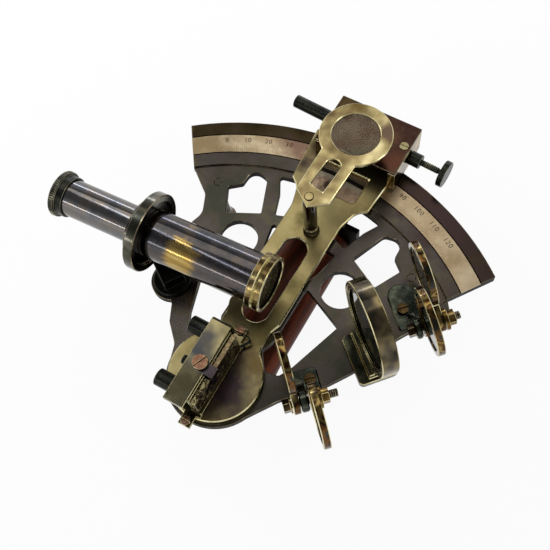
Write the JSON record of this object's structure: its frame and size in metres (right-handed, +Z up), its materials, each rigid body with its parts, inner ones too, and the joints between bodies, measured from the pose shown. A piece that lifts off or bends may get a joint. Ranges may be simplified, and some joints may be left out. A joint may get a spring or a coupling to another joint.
{
  "type": "sextant",
  "caption": "Small brass sextant: open frame with a graduated arc, pivoting index arm with magnifier and fine screw, mirrors, filters, telescope and wooden grip.",
  "frame": {"origin": "centre of the pivot foot's bottom face, below the arm's pivot", "axes": "+Z up and normal to the plate, +Y from the pivot to the middle of the arc, +X to the side of the horizon mirror"},
  "size_m": [0.1682, 0.156, 0.0758],
  "materials": {
    "dark": "Worn dark lacquer on cast brass, brown where it has rubbed",
    "bronze": "Dull brown brass with rubbed edges",
    "olive": "Polished old brass, olive toned, brighter on the edges",
    "rosy": "Silvered strip toned to a rosy tan, engraved with dark numerals",
    "black": "Black finish with a green tinge, worn at the edges",
    "gun": "Blackened polished metal with golden wear",
    "nut": "Brown brass screws and nuts",
    "cover": "Dark purple-brown lacquer",
    "wood": "Polished mahogany",
    "steel": "Bright steel",
    "mirror": "Silvered glass with age spots",
    "clear": "Clear lens glass, faintly yellow",
    "green": "Dark green filter glass",
    "smoke": "Smoked filter glass",
    "red": "Deep red filter glass"
  },
  "bodies": {
    "frame": {"frame": "dark", "scale": "rosy", "rear_feet": "bronze", "pivot_foot": "bronze", "pivot_bush": "olive", "grip": "wood", "grip_rod": "nut", "grip_upper_bracket": "black", "grip_lower_bracket": "black", "grip_screws": "nut", "telescope_bracket": "black", "telescope_ring": "bronze", "main_tube": "gun", "objective_cell": "bronze", "objective_lens": "clear", "horizon_frame": "bronze", "horizon_glass": "mirror", "horizon_retainer": "bronze", "horizon_adjuster": "olive", "shade_brackets": "black", "bracket_screws": "nut", "shade_screws": "nut", "shade_nuts": "nut"},
    "arm": {"index_arm": "olive", "pivot_journal": "olive", "pivot_screw": "nut", "vernier": "rosy", "end_box": "bronze", "cover": "cover", "cover_screws": "olive", "spring_barrel": "black", "tangent_boss": "black", "magnifier_post": "bronze", "magnifier_rivet": "olive", "mirror_cradle": "olive", "mirror_case": "olive", "mirror_clip": "black", "case_screws": "nut", "index_mirror": "mirror", "adjusters": "black", "spring": "steel"},
    "pad": {"thrust_pad": "olive"},
    "screw": {"tangent_screw": "black"},
    "plunger": {"plunger": "olive"},
    "clamp": {"clamp_block": "bronze"},
    "shoe": {"clamp_shoe": "olive"},
    "lock": {"clamp_screw": "bronze"},
    "magnifier": {"magnifier_arm": "olive", "magnifier_lens": "clear"},
    "eyepiece": {"draw_tube": "gun", "eyepiece_cap": "black", "eyepiece_lens": "clear"},
    "index_a": {"index_shade_a": "bronze", "index_glass_a": "green"},
    "index_b": {"index_shade_b": "bronze", "index_glass_b": "red"},
    "horizon_a": {"horizon_shade_a": "bronze", "horizon_glass_a": "green"},
    "horizon_b": {"horizon_shade_b": "bronze", "horizon_glass_b": "smoke"}
  },
  "joints": [
    {"name": "arm_swing", "type": "hinge", "parent": "frame", "child": "arm", "pos_m": [0, 0, 0.033], "axis": [0, 0, 1], "range_deg": [-24, 28]},
    {"name": "screw_spin", "type": "hinge", "parent": "pad", "child": "screw", "pos_m": [-0.00064, 0.123, 0.0402], "axis": [0.9992, -0.0401, 0], "range_deg": [-515, 515]},
    {"name": "pad_slide", "type": "slide", "parent": "arm", "child": "pad", "axis": [0.9992, -0.0401, 0], "range_m": [-0.001, 0.001]},
    {"name": "plunger_slide", "type": "slide", "parent": "arm", "child": "plunger", "axis": [0.9992, -0.0401, 0], "range_m": [-0.00105, 0.00105], "deforming": ["spring"]},
    {"name": "clamp_shift", "type": "hinge", "parent": "arm", "child": "clamp", "pos_m": [0, 0, 0.033], "axis": [0, 0, 1], "range_deg": [-0.52, 0.52]},
    {"name": "lock_spin", "type": "hinge", "parent": "shoe", "child": "lock", "pos_m": [-0.0006, 0.114, 0.02], "axis": [0, 0, 1], "range_deg": [-360, 114]},
    {"name": "shoe_slide", "type": "slide", "parent": "clamp", "child": "shoe", "axis": [0, 0, 1], "range_m": [-0.0007, 0.00022]},
    {"name": "magnifier_swing", "type": "hinge", "parent": "arm", "child": "magnifier", "pos_m": [0.00172, 0.07291, 0.063], "axis": [0, 0, 1], "range_deg": [-5, 15]},
    {"name": "eyepiece_slide", "type": "slide", "parent": "frame", "child": "eyepiece", "axis": [0.9976, 0.0698, 0], "range_m": [-0.008, 0.018]},
    {"name": "index_a_swing", "type": "hinge", "parent": "frame", "child": "index_a", "pos_m": [0.0323, 0.0019, 0.0415], "axis": [0.6984, 0.7157, 0], "range_deg": [-14, 110]},
    {"name": "index_b_swing", "type": "hinge", "parent": "frame", "child": "index_b", "pos_m": [0.0323, 0.0019, 0.0415], "axis": [0.6984, 0.7157, 0], "range_deg": [-101, 23]},
    {"name": "horizon_a_swing", "type": "hinge", "parent": "frame", "child": "horizon_a", "pos_m": [0.059, 0.0517, 0.0415], "axis": [0.6783, 0.7273, 0.1045], "range_deg": [-1, 127]},
    {"name": "horizon_b_swing", "type": "hinge", "parent": "frame", "child": "horizon_b", "pos_m": [0.059, 0.0517, 0.0415], "axis": [0.6783, 0.7273, 0.1045], "range_deg": [-78, 50]}
  ],
  "couplings": [
    {"joint": "screw_spin", "follows": "pad_slide", "rad_per_m": -8976},
    {"joint": "plunger_slide", "follows": "pad_slide", "ratio": 1},
    {"joint": "clamp_shift", "follows": "pad_slide", "rad_per_m": -8.1301},
    {"joint": "lock_spin", "follows": "shoe_slide", "rad_per_m": 8976}
  ]
}
